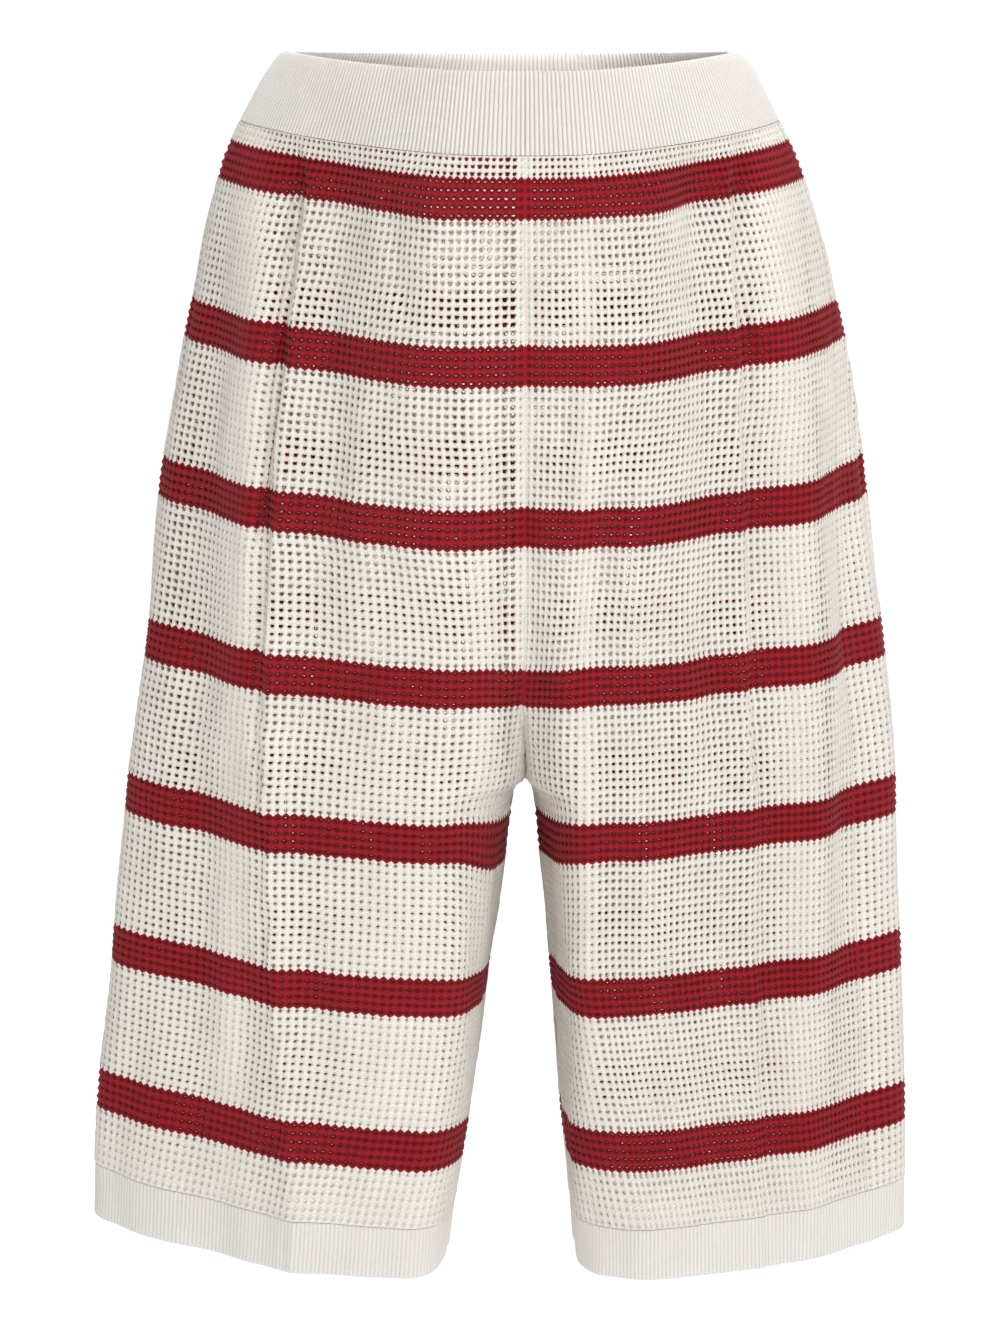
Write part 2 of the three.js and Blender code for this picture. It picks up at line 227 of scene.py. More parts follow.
# Half gap between the thighs, from the middle plane to each inseam, with room for the yarn's thickness
INSEAMS = table(("depth", "right", "left"), [
    (CROTCH, 0.9, 0.9),
    (367, 3.6, 3.4),
    (371, 5.5, 5.2),
    (380, 7.4, 7.0),
    (400, 10.4, 9.4),
    (433, 14.2, 12.5),
    (486, 20.0, 15.8),
    (539, 27.3, 19.8),
    (593, 36.0, 24.3),
    (HEM, 39.5, 25.8),
])

# How far the sides ride above the front at the same depth
SIDE_RISES = table(("depth", "right", "left"), [
    (0, 1.5, 1.5),
    (BAND_BOTTOM, 5.5, 5.5),
    (52, 7, 7),
    (133, 8.5, 8.5),
    (215, 9.5, 9.5),
    (300, 9.5, 9.5),
    (388, 11.2, 9.8),
    (469, 13.3, 9.9),
    (550, 17.7, 11),
    (CUFF_TOP, 17, 10),
    (HEM, 15.5, 8.5),
])

# How far the cloth at the middle of the rise and at the inseams hangs below the front at the same depth
INNER_FALLS = table(("depth", "right", "left"), [
    (0, 0, 0),
    (260, 0, 0),
    (300, 3.5, 3.5),
    (320, 3, 3),
    (CROTCH, 0.5, 0.5),
    (377, 6, 4),
    (399, 12, 7),
    (430, 8, 4),
    (475, 0, 0),
    (HEM, 0, 0),
])
INNER_FALL_WIDTH = 15

# How far the side seams lie round from the widest point, to the back or, below zero, to the front
SIDE_SEAMS = table(("depth", "right", "left"), [
    (0, 4, -4),
    (134, 10, -12),
    (250, 12, -30),
    (HEM, 10, -30),
])

# Roundness of the sections, and the angle through which the cloth bends in towards the inner edge
FORMS = table(("depth", "rightOuter", "leftOuter", "backOuter", "rightInner", "leftInner", "turn"), [
    (0, 1.38, 1.38, 1.7, 2.0, 2.0, 25),
    (52, 1.32, 1.35, 1.8, 2.0, 2.0, 25),
    (134, 1.38, 1.42, 1.9, 2.0, 2.0, 25),
    (215, 1.42, 1.40, 1.9, 2.0, 2.0, 30),
    (297, 1.55, 1.42, 1.9, 2.0, 2.0, 50),
    (345, 1.60, 1.38, 1.9, 2.1, 2.0, 90),
    (378, 1.60, 1.35, 1.9, 2.3, 2.0, 90),
    (460, 1.50, 1.38, 1.9, 2.6, 2.1, 90),
    (541, 1.40, 1.42, 1.9, 3.2, 2.7, 90),
    (HEM, 1.45, 1.50, 1.9, 3.8, 3.2, 90),
])

# Folds as soft ridges, or troughs where the height is below zero, and the pleats as sharp steps
FOLDS = table(
    ("side", "face", "kind", "xTop", "xMid", "xLow", "highTop", "highMid", "highLow", "width"), [
        ("right", "front", "step", 110, 126, 118, 3.6, 3.2, 1.0, 14),
        ("right", "front", "ridge", 128, 132, 119, 2, 8, 6, 13),
        ("right", "front", "ridge", 150, 166, 165, -1, -8, -3, 15),
        ("right", "front", "ridge", 96, 100, 95, -12, -3, 0, 20),
        ("right", "front", "ridge", 40, 42, 50, 6, 2, 1, 16),
        ("left", "front", "step", 103, 112, 122, 3.4, 3.0, 1.0, 14),
        ("left", "front", "ridge", 90, 98, 98, -12, -5, -1, 15),
        ("left", "front", "ridge", 115, 140, 140, 2, 9, 2, 15),
        ("left", "front", "ridge", 168, 166, 168, 0, -5, -1, 13),
        ("left", "front", "ridge", 60, 62, 60, 4, 0, 1, 12),
        ("right", "back", "ridge", 58, 84, 92, -4, 3, 2, 22),
        ("right", "back", "ridge", 112, 138, 132, 4, -6, -3, 18),
        ("right", "back", "ridge", 138, 168, 170, -3, 4, 2, 15),
        ("left", "back", "ridge", 66, 76, 80, -5, 2, -2, 20),
        ("left", "back", "ridge", 100, 122, 116, 3, -5, 2, 17),
        ("left", "back", "ridge", 126, 152, 158, -2, 4, -3, 16),
    ])

# Creases and small folds that the looks add: straight lines between two places, faded at both ends
CREASE_FADE = 22
CREASES = table(
    ("side", "face", "xTop", "depthTop", "xLow", "depthLow", "height", "width"), [
        ("right", "front", 113.5, 44, 128, 250, -5.0, 2.2),
        ("right", "front", 128, 215, 133, 360, -2.5, 2.2),
        ("left", "front", 107, 44, 114, 215, -2.5, 2.0),
        ("left", "front", 33, 50, 15, 235, -3.5, 8),
        ("left", "front", 62, 50, 52, 170, 2.0, 9),
        ("left", "front", 34, 200, 44, 470, -4.0, 12),
        ("right", "front", 68, 48, 56, 130, -3.0, 6),
        ("right", "front", 30, 46, 24, 120, -2.2, 7),
        ("right", "front", 88, 48, 92, 150, 1.6, 6),
        ("right", "front", 0, 170, 0, 362, -6.0, 13),
        ("left", "front", 0, 170, 0, 362, -6.0, 13),
        ("right", "front", 34, 330, 52, 470, -2.5, 12),
        ("right", "back", 30, 46, 38, 150, -3.0, 8),
        ("right", "back", 96, 46, 104, 190, -3.5, 6),
        ("left", "back", 42, 46, 34, 140, -3.0, 8),
        ("left", "back", 88, 46, 100, 210, -3.2, 6),
        ("right", "back", 0, 200, 0, 362, -4.0, 14),
        ("left", "back", 0, 200, 0, 362, -4.0, 14),
    ])

# Slight unevenness of hanging knit: wave lengths round and down the cloth, and heights. The sway is how
# far, in radians, the waves that run down shift those that run round
RIPPLES = table(("round", "down", "height"), [
    (31, 240, 0.35),
    (47, 170, 0.45),
    (73, 310, 0.6),
    (22, 130, 0.2),
])
RIPPLE_SWAY = 1.4
RIPPLE_START = 45
RIPPLE_FULL = 120

# Knit columns inside and outside the guide line that runs down each panel
COLUMN_PLANS = {
    "front": {"inner": 12, "outer": 45, "mark": "front_peak"},
    "back": {"inner": 18, "outer": 43, "mark": "back_peak"},
}

# Heights over the cloth's face of the places in one knit cell, and half the hole's share of the cell
CELLS = {
    "cream": {"knot": 0.6, "wale": 0.6, "bridge": 0.1, "rim": -0.1, "hole_x": 0.22, "hole_y": 0.185},
    "red": {"knot": 0.9, "wale": -0.1, "bridge": 0.2, "rim": -0.5, "hole_x": 0.15, "hole_y": 0.08},
}

# Painted shade of the same places, from dark at 0 to light at about 1: the knit's grooves, the holes' rims
# and, darkest, their feet are painted darker where shade falls
SHADES = {
    "cream": {"knot": 1.0, "wale": 1.0, "bridge": 0.85, "rim": 0.7, "foot": 0.0},
    "red": {"knot": 1.1, "wale": 0.45, "bridge": 0.75, "rim": 0.1, "foot": 0.0},
}
HOLE_FOOT = -1.4
HOLE_CORNERS = ((-1, -1), (1, -1), (1, 1), (-1, 1))

# Unevenness of the holes, as shares of a cell or of their size: moves of their corners, changes from
# hole to hole and changes along a column, with the rows and columns that the last take
HOLE_NUDGE = 0.025
HOLE_UNEVENNESS = 0.09
COLUMN_UNEVENNESS = 0.05
COLUMN_RUN = (40, 1)

# How far a stripe's edge is toothed, as a share of a row, and the back's holes against the front's
STRIPE_TEETH = 0.2
BACK_HOLES = 0.72

# Runs of cells whose holes close, where folds and seams squeeze them, or open, where closing is below zero
HOLE_BANDS = table(
    ("side", "face", "xTop", "xMid", "xLow", "width", "closeTop", "closeMid", "closeLow"), [
        ("right", "front", 134, 143, 150, 9, 0.7, 0.7, 0.6),
        ("right", "front", 70, 68, 60, 34, 0.1, 0.2, 0.7),
        ("right", "front", 170, 190, 195, 36, 0.0, 0.1, 0.4),
        ("right", "front", 160, 178, 190, 15, -0.35, -0.25, 0.0),
        ("right", "front", 20, 20, 20, 6, -0.1, 0.4, 0.3),
        ("right", "front", 60, 70, 80, 70, -0.3, -0.08, 0.12),
        ("left", "front", 60, 70, 80, 70, -0.1, -0.05, 0.12),
        ("right", "front", 1, 1, 1, 2.5, 0.8, 0.6, 0.6),
        ("right", "front", 8, 8, 8, 3.5, -0.3, -0.4, 0),
        ("left", "front", 1, 1, 1, 2.5, 0.8, 0.6, 0.6),
        ("left", "front", 30, 30, 34, 4.5, 0.4, 0.6, 0.4),
        ("left", "front", 125, 135, 142, 12, 0.55, 0.55, 0.5),
        ("left", "front", 136, 150, 160, 2.5, -0.6, -0.6, -0.3),
        ("right", "back", 60, 84, 92, 9, 0.5, 0.5, 0.4),
        ("left", "back", 100, 122, 116, 9, 0.5, 0.5, 0.4),
    ])

# How much the holes close above the cuffs, how wide they are at their top and low corners against the
# middle, and how far they lean, with the rows and columns that the lean takes to change
HEM_CLOSING = 0.45
HEM_CLOSING_START = 566
HOLE_TOP_WIDTH = 1.15
HOLE_LOW_WIDTH = 0.8
SLANT = 0.09
SLANT_RUN = (24, 4)

# The yarn's unevenness in height, and how deep and how wide the panels' edges dip beside a seam
YARN_WANDER = 0.16
SEAM_DIP = 0.5
SEAM_SOFTNESS = 1.3

# The fabrics, with the yarn legs' waves in a row or course and the bump's height in metres
FABRICS = table(("name", "light", "dark", "waves", "bump"), [
    ("cream_mesh_knit", CREAM, CREAM_DARK, 2, 0.0003),
    ("red_mesh_knit", RED, RED_DARK, 2, 0.0003),
    ("cream_rib_knit", RIB_CREAM, RIB_CREAM_DARK, 1, 0.00015),
])

# Disk lights: places and size in metres, power in watts and the spread of the light in degrees
LIGHTS = table(("name", "location", "target", "size", "power", "spread"), [
    ("key", (0.38, -2.45, 1.3), (0.05, 0, -0.3), 1.2, 45, 180),
    ("top", (0.1, -0.7, 1.7), (0, 0.05, -0.1), 1.0, 7, 180),
    ("waist_fill", (0, -0.03, 0.3), (0, 0.09, -0.02), 0.1, 0.42, 64),
])

SIDES = {"right": -1, "left": 1}
RANGE_SOCKETS = ("From Min", "From Max", "To Min", "To Max")


def smooth_step(value, low, high):
    share = np.clip((value - low) / (high - low), 0.0, 1.0)
    return share * share * (3 - 2 * share)


def mixed(first, second, share):
    return first + (second - first) * share


def bell(off, width):
    """A swell that is 1 where off is 0 and fades over the width to both sides"""
    return np.exp(-((off / width) ** 2))


def read(rows, column, depth):
    """A smooth curve through one column of a table, read at a depth"""
    last = len(rows) - 1

    def slope(at):
        return (rows[at + 1][column] - rows[at][column]) / (rows[at + 1]["depth"] - rows[at]["depth"])

    def tangent(at):
        if at == 0:
            return slope(0)
        if at == last:
            return slope(last - 1)
        before, after = slope(at - 1), slope(at)
        return 0.0 if before * after <= 0 else (before + after) / 2

    at = 0
    while at < last - 1 and depth > rows[at + 1]["depth"]:
        at += 1
    start, end = rows[at], rows[at + 1]
    span = end["depth"] - start["depth"]
    share = min(max((depth - start["depth"]) / span, 0.0), 1.0)
    rest = 1 - share
    return (start[column] * (1 + 2 * share) * rest * rest + span * tangent(at) * share * rest * rest
            + end[column] * share * share * (3 - 2 * share) - span * tangent(at + 1) * share * share * rest)


def along_fold(top, middle, low, depth):
    """A fold's value at a depth, on the parabola through its top, middle and low values"""
    span = FOLD_LOW - FOLD_TOP
    halfway = (FOLD_MIDDLE - FOLD_TOP) / span
    share = np.clip((depth - FOLD_TOP) / span, 0.0, 1.0)
    bend = ((low - top) - (middle - top) / halfway) / (1 - halfway)
    return top + ((middle - top) / halfway - bend * halfway) * share + bend * share * share


def on_face(rows, side, face):
    return [row for row in rows if row["side"] == side and row["face"] == face]


def fold_height(side, face, depth, x):
    """How far the folds move the cloth out along its normals"""
    strength = min(max((depth - FOLD_START) / (FOLD_FULL - FOLD_START), 0.0), 1.0)
    height = np.zeros_like(x)
    for fold in on_face(FOLDS, side, face):
        off = x - along_fold(fold["xTop"], fold["xMid"], fold["xLow"], depth)
        swell = bell(off, fold["width"])
        profile = -swell * np.tanh(off / PLEAT_EDGE) if fold["kind"] == "step" else swell
        height += along_fold(fold["highTop"], fold["highMid"], fold["highLow"], depth) * profile
    return height * strength


def crease_height(side, face, depth, x):
    """How far the creases move the cloth straight out to the front or the back"""
    height = np.zeros_like(x)
    for crease in on_face(CREASES, side, face):
        share = (depth - crease["depthTop"]) / (crease["depthLow"] - crease["depthTop"])
        off = x - mixed(crease["xTop"], crease["xLow"], share)
        ends = smooth_step(min(depth - crease["depthTop"], crease["depthLow"] - depth), 0, CREASE_FADE)
        height += crease["height"] * ends * bell(off, crease["width"])
    return height


def inner_edge(side, face, depth, reach):
    """Where the front or back inner edge lies, from the waist down the rise and the inseam"""
    if depth >= CROTCH:
        return read(INSEAMS, side, depth), CROTCH_Y
    bend_start = FRONT_RISE_BEND if face == "front" else BACK_RISE_BEND
    hollow = FRONT_HOLLOW if face == "front" else -BACK_HOLLOW
    start = reach + hollow * smooth_step(depth, HOLLOW_TOP, HOLLOW_FULL)
    share = max(0.0, (depth - bend_start) / (CROTCH - bend_start))
    bend = 1 - (1 - share ** RISE_CURVE) ** (1 / RISE_CURVE)
    return 0.0, mixed(start, CROTCH_Y, bend)


def cosine_power(angle, power):
    return np.maximum(0.0, np.cos(angle)) ** power


def face_line(side, face, depth):
    """One face of a half section, from its inner edge past its foremost point to the widest point"""
    front = face == "front"
    out = read(LEVELS, f"{side}Out", depth)
    peak = read(LEVELS, f"{side}Peak" if front else "backPeak", depth)
    reach = -read(LEVELS, "front", depth) if front else read(LEVELS, "back", depth)
    outer = 2 / read(FORMS, f"{side}Outer" if front else "backOuter", depth)
    inner = 2 / read(FORMS, f"{side}Inner", depth)
    turn = math.radians(read(FORMS, "turn", depth))
    edge_x, edge_y = inner_edge(side, face, depth, reach)
    angle = turn * np.arange(INNER_STEPS, 0, -1) / INNER_STEPS
    across = (np.sin(angle) / math.sin(turn)) ** inner
    inward = (1 - cosine_power(angle, inner)) / (1 - cosine_power(turn, inner))
    inner_part = np.stack([mixed(peak, edge_x, across), mixed(reach, edge_y, inward)], axis=1)
    angle = math.pi / 2 * np.arange(QUARTER_STEPS + 1) / QUARTER_STEPS
    outer_part = np.stack([
        mixed(peak, out, np.sin(angle) ** outer),
        mixed(reach, SIDE_Y, 1 - cosine_power(angle, outer)),
    ], axis=1)
    return np.concatenate([inner_part, outer_part])


def running_lengths(points):
    steps = np.hypot(*np.diff(points, axis=0).T)
    return np.concatenate([[0.0], np.cumsum(steps)])


def passing(values, lengths, start, value):
    """The length along a line at which a coordinate first passes a value, from a point on"""
    at = start
    while at < len(values) - 2 and (values[at] - value) * (values[at + 1] - value) > 0:
        at += 1
    share = (value - values[at]) / (values[at + 1] - values[at])
    return mixed(lengths[at], lengths[at + 1], min(max(share, 0.0), 1.0))


def eased(line, out):
    """Cloth turns no sharp corner: the section is spaced evenly, eased and set back to its width"""
    lengths = running_lengths(line)
    ways = np.linspace(0.0, lengths[-1], SECTION_POINTS)
    points = np.stack([np.interp(ways, lengths, line[:, axis]) for axis in (0, 1)], axis=1)
    for _ in range(EASING_PASSES):
        points[1:-1] = (points[:-2] + 2 * points[1:-1] + points[2:]) / 4
    points[:, 0] *= out / points[:, 0].max()
    return points


def half_section(side, depth):
    """Points of a half section moved out by the folds, the lengths to them, and the marks round it"""
    rough = np.concatenate([face_line(side, "front", depth), face_line(side, "back", depth)[::-1][1:]])
    smooth = eased(rough, read(LEVELS, f"{side}Out", depth))
    outermost = int(smooth[:, 0].argmax())
    padded = np.concatenate([smooth[:1], smooth, smooth[-1:]])
    along = padded[2:] - padded[:-2]
    along /= np.hypot(*along.T)[:, None]
    outward = np.stack([along[:, 1], -along[:, 0]], axis=1)
    height = np.concatenate([
        fold_height(side, "front", depth, smooth[:outermost + 1, 0]),
        fold_height(side, "back", depth, smooth[outermost + 1:, 0]),
    ])
    points = smooth + outward * height[:, None]
    points[:outermost + 1, 1] -= crease_height(side, "front", depth, smooth[:outermost + 1, 0])
    points[outermost + 1:, 1] += crease_height(side, "back", depth, smooth[outermost + 1:, 0])
    lengths = running_lengths(points)
    peak = read(LEVELS, f"{side}Peak", depth)
    past_peak = int((smooth[:, 0] > peak).argmax())
    widest = passing(smooth[:, 1], lengths, past_peak, SIDE_Y)
    marks = {
        "total": lengths[-1],
        "widest": widest,
        "front_peak": passing(smooth[:, 0], lengths, 0, peak),
        "seam": widest + read(SIDE_SEAMS, side, depth),
        "back_peak": passing(smooth[:, 0], lengths, outermost, read(LEVELS, "backPeak", depth)),
    }
    return points, lengths, marks


def ripple(seed, depth, way):
    phases = np.random.default_rng(seed).uniform(0, 2 * math.pi, (len(RIPPLES), 2))
    height = np.zeros_like(way)
    for wave, (round_phase, down_phase) in zip(RIPPLES, phases):
        lean = np.sin(2 * math.pi * depth / wave["down"] + down_phase)
        turn = 2 * math.pi * way / wave["round"] + round_phase
        height += wave["height"] * np.sin(turn + RIPPLE_SWAY * lean)
    return height * smooth_step(depth, RIPPLE_START, RIPPLE_FULL)


class Half:
    """One half of the cloth as a fine grid, which is read at any depth and way round"""

    def __init__(self, side):
        self.side = side
        self.sign = SIDES[side]
        self.depths = np.arange(0.0, HEM + GRID_STEP / 2, GRID_STEP)
        sections = [half_section(side, depth) for depth in self.depths]
        self.marks = {
            name: np.array([marks[name] for _, _, marks in sections]) for name in sections[0][2]}
        in_front = self.marks["widest"].max() + GRID_MARGIN
        behind = (self.marks["total"] - self.marks["widest"]).max() + GRID_MARGIN
        self.spots = np.arange(-math.ceil(in_front), math.ceil(behind) + 1, GRID_STEP)
        self.points = np.stack([
            self.level(depth, *section) for depth, section in zip(self.depths, sections)])
        self.set_normals()
        grid = np.meshgrid(self.depths, self.spots, indexing="ij")
        height = ripple(RIPPLE_SEED + self.sign, *grid)
        self.points += self.normals * height[..., None]
        self.set_normals()

    def level(self, depth, points, lengths, marks):
        """Points at one depth, spaced by their way round from the widest point and run on past both ends"""
        spots = lengths - marks["widest"]
        first, last = points[1] - points[0], points[-1] - points[-2]
        before = np.minimum(0.0, self.spots - spots[0])[:, None] * first / np.hypot(*first)
        after = np.maximum(0.0, self.spots - spots[-1])[:, None] * last / np.hypot(*last)
        inside = np.stack([np.interp(self.spots, spots, points[:, axis]) for axis in (0, 1)], axis=1)
        x, y = (inside + before + after).T
        share = x / read(LEVELS, f"{self.side}Out", depth)
        fall = RIM_FALL * max(0.0, 1 - depth / RIM_FALL_END) * np.maximum(0.0, y)
        turned = np.clip((share - CORNER_START) / (1 - CORNER_START), 0.0, 1.0)
        corner = CORNER_ROUNDING * turned ** 2 * max(0.0, 1 - depth / CORNER_END_DEPTH)
        inner = read(INSEAMS, self.side, depth) if depth >= CROTCH else 0.0
        inner_fall = read(INNER_FALLS, self.side, depth) * bell(x - inner, INNER_FALL_WIDTH)
        z = -depth + read(SIDE_RISES, self.side, depth) * share ** 2 - fall - corner - inner_fall
        return np.stack([self.sign * x, y, z], axis=1)

    def set_normals(self):
        down = np.gradient(self.points, axis=0)
        across = np.gradient(self.points, axis=1)
        normals = self.sign * np.cross(down, across)
        self.normals = normals / np.linalg.norm(normals, axis=2, keepdims=True)

    def mark(self, name, depth):
        return np.interp(depth, self.depths, self.marks[name])

    def place(self, depth, way, outward):
        """Points on the cloth, moved outward along its normals"""
        depth, way, outward = np.broadcast_arrays(depth, way, outward)
        row = np.clip(depth / GRID_STEP, 0, len(self.depths) - 1)
        column = (way - self.mark("widest", depth) - self.spots[0]) / GRID_STEP
        column = np.clip(column, 0, len(self.spots) - 1)
        upper = np.minimum(row.astype(int), len(self.depths) - 2)
        left = np.minimum(column.astype(int), len(self.spots) - 2)
        down, across = (row - upper)[..., None], (column - left)[..., None]

        def between(grid):
            above = mixed(grid[upper, left], grid[upper, left + 1], across)
            below = mixed(grid[upper + 1, left], grid[upper + 1, left + 1], across)
            return mixed(above, below, down)

        normal = between(self.normals)
        normal /= np.linalg.norm(normal, axis=-1, keepdims=True)
        return between(self.points) + normal * outward[..., None]

    def face_width(self, face, depth):
        seam = self.mark("seam", depth)
        return seam if face == "front" else self.mark("total", depth) - seam

    def way(self, face, depth, reach):
        """The way round at a length from a face's inner edge"""
        return reach if face == "front" else self.mark("total", depth) - reach

    def guide(self, face, depth):
        plan = COLUMN_PLANS[face]
        on_torso = self.face_width(face, depth) * plan["inner"] / (plan["inner"] + plan["outer"])
        on_leg = self.way(face, depth, self.mark(plan["mark"], depth))
        return mixed(on_torso, on_leg, smooth_step(depth, GUIDE_TOP, GUIDE_LOW))

    def inner_pitch(self, face, depth):
        on_torso = self.guide(face, depth) / COLUMN_PLANS[face]["inner"]
        return mixed(on_torso, LEG_PITCH, smooth_step(depth, FRONT_RISE_BEND, INNER_PITCH_END))

    def pitch(self, face, depth, outside):
        """The columns' pitch inside or outside the guide line"""
        outer_width = self.face_width(face, depth) - self.guide(face, depth)
        outer_pitch = outer_width / COLUMN_PLANS[face]["outer"]
        return np.where(outside, outer_pitch, self.inner_pitch(face, depth))

    def column_reach(self, face, depth, column):
        """Length from a face's inner edge to a knit column, kept inside the panel's two edges"""
        reach = self.guide(face, depth) + column * self.pitch(face, depth, column > 0)
        return np.clip(reach, SEAM_GAP / 2, self.face_width(face, depth) - SEAM_GAP / 2)

    def column_at(self, face, depth, reach):
        """The knit column, with parts of one, at a length from a face's inner edge"""
        past_guide = reach - self.guide(face, depth)
        return past_guide / self.pitch(face, depth, past_guide > 0)

    def innermost_column(self, face):
        return -math.ceil((self.guide(face, self.depths) / self.inner_pitch(face, self.depths)).max())


def placed(name, data):
    """A new object in the scene"""
    thing = bpy.data.objects.new(name, data)
    bpy.context.scene.collection.objects.link(thing)
    return thing


def cloth_piece(name, points, faces, materials, painted_shade, stitches):
    """A piece from points in millimetres and pairs of polygon arrays and material numbers.
    Each point has its painted shade, darker in the cloth's hollows, and its place in the knit, in columns
    and rows."""
    corners = np.concatenate([polygons.ravel() for polygons, _ in faces])
    used, corners = np.unique(corners, return_inverse=True)
    sizes = np.concatenate([np.full(len(polygons), polygons.shape[1]) for polygons, _ in faces])
    mesh = bpy.data.meshes.new(name)
    mesh.vertices.add(len(used))
    mesh.vertices.foreach_set("co", (points[used] * MM).astype(np.float32).ravel())
    mesh.loops.add(len(corners))
    mesh.loops.foreach_set("vertex_index", corners.astype(np.int32))
    mesh.polygons.add(len(sizes))
    starts = np.concatenate([[0], np.cumsum(sizes)[:-1]])
    mesh.polygons.foreach_set("loop_start", starts.astype(np.int32))
    numbers = np.concatenate([number for _, number in faces])
    mesh.polygons.foreach_set("material_index", numbers.astype(np.int32))
    for material in materials:
        mesh.materials.append(material)
    shade = mesh.attributes.new("painted_shade", "FLOAT", "POINT")
    shade.data.foreach_set("value", painted_shade[used].astype(np.float32))
    stitch = mesh.attributes.new("stitch", "FLOAT_VECTOR", "POINT")
    places = np.pad(stitches[used], ((0, 0), (0, 1)))
    stitch.data.foreach_set("vector", places.astype(np.float32).ravel())
    mesh.update(calc_edges=True)
    mesh.shade_smooth()
    piece = placed(name, mesh)
    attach(piece, "root")
    return piece


def row_marks():
    """Knit rows whose depth is known, with their depths: the panel's two ends and the outer stripes"""
    rows = (0, FIRST_RED_ROW, LAST_STRIPE_ROW, KNIT_ROWS)
    return rows, (BAND_BOTTOM + SEAM_GAP / 2, FIRST_STRIPE, LAST_STRIPE, CUFF_TOP - SEAM_GAP / 2)


def row_depth(row):
    rows, depths = row_marks()
    return np.interp(row, rows, depths)


def row_at(depth):
    rows, depths = row_marks()
    return np.interp(depth, depths, rows)


def is_red(row):
    step = (row - FIRST_RED_ROW) % STRIPE_PERIOD
    return (row >= FIRST_RED_ROW) & (step < STRIPE_ROWS)


def slow_noise(rng, rows, columns, row_step, column_step):
    """Seeded values from -1 to 1 that change slowly over a grid"""
    coarse = rng.uniform(-1, 1, (rows // row_step + 2, columns // column_step + 2))
    row = np.arange(rows) / row_step
    column = np.arange(columns) / column_step
    upper, left = row.astype(int), column.astype(int)
    down = smooth_step(row - upper, 0, 1)[:, None]
    across = smooth_step(column - left, 0, 1)[None, :]
    above = mixed(coarse[np.ix_(upper, left)], coarse[np.ix_(upper, left + 1)], across)
    below = mixed(coarse[np.ix_(upper + 1, left)], coarse[np.ix_(upper + 1, left + 1)], across)
    return mixed(above, below, down)


def hole_size(half, face, depth, x):
    """How much of its size each hole keeps, by the bands that it lies in"""
    kept = np.full(x.shape, BACK_HOLES if face == "back" else 1.0)
    kept *= 1 - HEM_CLOSING * smooth_step(depth, HEM_CLOSING_START, CUFF_TOP)
    for band in on_face(HOLE_BANDS, half.side, face):
        off = half.sign * x - along_fold(band["xTop"], band["xMid"], band["xLow"], depth)
        closing = along_fold(band["closeTop"], band["closeMid"], band["closeLow"], depth)
        kept *= 1 - closing * bell(off, band["width"])
    return kept


def by_colour(values, part, red):
    """One part's value in every row, by the row's colour"""
    return np.where(red, values["red"][part], values["cream"][part])[:, None]


class KnitPoints:
    """The points of one knit panel, with their painted shades and places in the knit"""

    def __init__(self, half, face, rng):
        self.half = half
        self.face = face
        self.rng = rng
        self.parts = []
        self.shades = []
        self.stitches = []

    def add(self, part, depth, reach, red):
        """Points of one kind, raised over the cloth's face and dipped beside the seams: their numbers"""
        half, face = self.half, self.face
        width = half.face_width(face, depth)
        from_edge = np.minimum(reach, width - reach)
        near_seam = bell(from_edge, SEAM_SOFTNESS)
        wander = YARN_WANDER * self.rng.uniform(-1, 1, reach.shape) * (1 - near_seam)
        level = HOLE_FOOT if part == "foot" else by_colour(CELLS, part, red)
        height = level - SEAM_DIP * near_seam + wander
        first = sum(len(points) for points in self.parts)
        self.parts.append(half.place(depth, half.way(face, depth, reach), height).reshape(-1, 3))
        self.shades.append((by_colour(SHADES, part, red) + 0 * reach).ravel())
        column = half.column_at(face, depth, reach)
        row = row_at(depth) + 0 * reach
        self.stitches.append(np.stack([column.ravel(), row.ravel()], axis=1))
        return first + np.arange(reach.size).reshape(reach.shape)


def cell_polygons(knot, wale, bridge, top, feet, red_rows):
    """The polygons of every cell, as grids of their corners' numbers, each with its rows' colours"""
    under_red = red_rows | np.concatenate([[False], red_rows[:-1]])
    over_red = red_rows | np.concatenate([red_rows[1:], [False]])
    return [
        ((knot[:-1, :-1], bridge[:-1], top[0], wale[:, :-1]), red_rows),
        ((bridge[:-1], knot[:-1, 1:], wale[:, 1:], top[1]), red_rows),
        ((wale[:, 1:], knot[1:, 1:], bridge[1:], top[2]), red_rows),
        ((bridge[1:], knot[1:, :-1], wale[:, :-1], top[3]), red_rows),
        ((bridge[:-1], top[1], top[0]), under_red),
        ((wale[:, 1:], top[2], top[1]), red_rows),
        ((bridge[1:], top[3], top[2]), over_red),
        ((wale[:, :-1], top[0], top[3]), red_rows),
        ((top[0], top[1], feet[1], feet[0]), red_rows),
        ((top[1], top[2], feet[2], feet[1]), red_rows),
        ((top[2], top[3], feet[3], feet[2]), red_rows),
        ((top[3], top[0], feet[0], feet[3]), red_rows),
    ]


